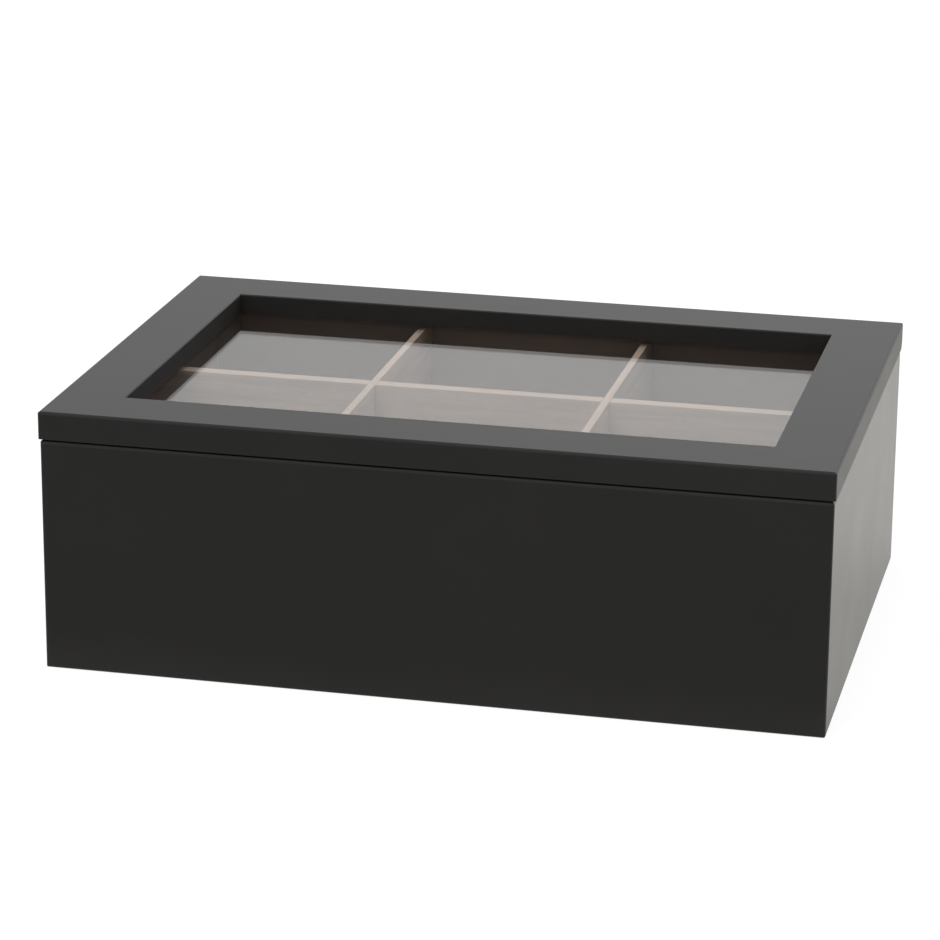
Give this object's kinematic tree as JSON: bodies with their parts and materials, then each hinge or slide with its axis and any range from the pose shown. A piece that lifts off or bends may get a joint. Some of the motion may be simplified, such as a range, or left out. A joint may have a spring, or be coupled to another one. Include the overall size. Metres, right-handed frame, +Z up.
{
  "type": "tea bag organizer box",
  "caption": "Black lacquered box for tea bags, with pale wood dividers and a hinged mitred lid that frames a clear window.",
  "frame": {"origin": "middle of the box's base, on the surface it stands on", "axes": "+X to the right along the front, +Y to the back, +Z up; the lid is closed"},
  "size_m": [0.263, 0.181, 0.0895],
  "materials": {
    "black_lacquer": "satin black lacquer over board",
    "pale_wood": "pale natural wood, lightly sealed",
    "hinge_metal": "brass plated steel",
    "window": "clear polished sheet"
  },
  "bodies": {
    "box": {"front_panel": "black_lacquer", "back_panel": "black_lacquer", "left_panel": "black_lacquer", "right_panel": "black_lacquer", "bottom_panel": "black_lacquer", "long_divider": "pale_wood", "left_cross_divider": "pale_wood", "right_cross_divider": "pale_wood", "left_hinge_box_leaf": "hinge_metal", "right_hinge_box_leaf": "hinge_metal", "left_hinge_pin": "hinge_metal", "right_hinge_pin": "hinge_metal", "box_hinge_screws": "hinge_metal"},
    "lid": {"lid_front_rail": "black_lacquer", "lid_back_rail": "black_lacquer", "lid_left_rail": "black_lacquer", "lid_right_rail": "black_lacquer", "window_pane": "window", "left_hinge_lid_leaf": "hinge_metal", "right_hinge_lid_leaf": "hinge_metal", "lid_hinge_screws": "hinge_metal"}
  },
  "joints": [
    {"name": "lid_hinge", "type": "hinge", "parent": "box", "child": "lid", "pos_m": [0, 0.0875, 0.08], "axis": [-1, 0, 0], "range_deg": [0, 99]}
  ]
}
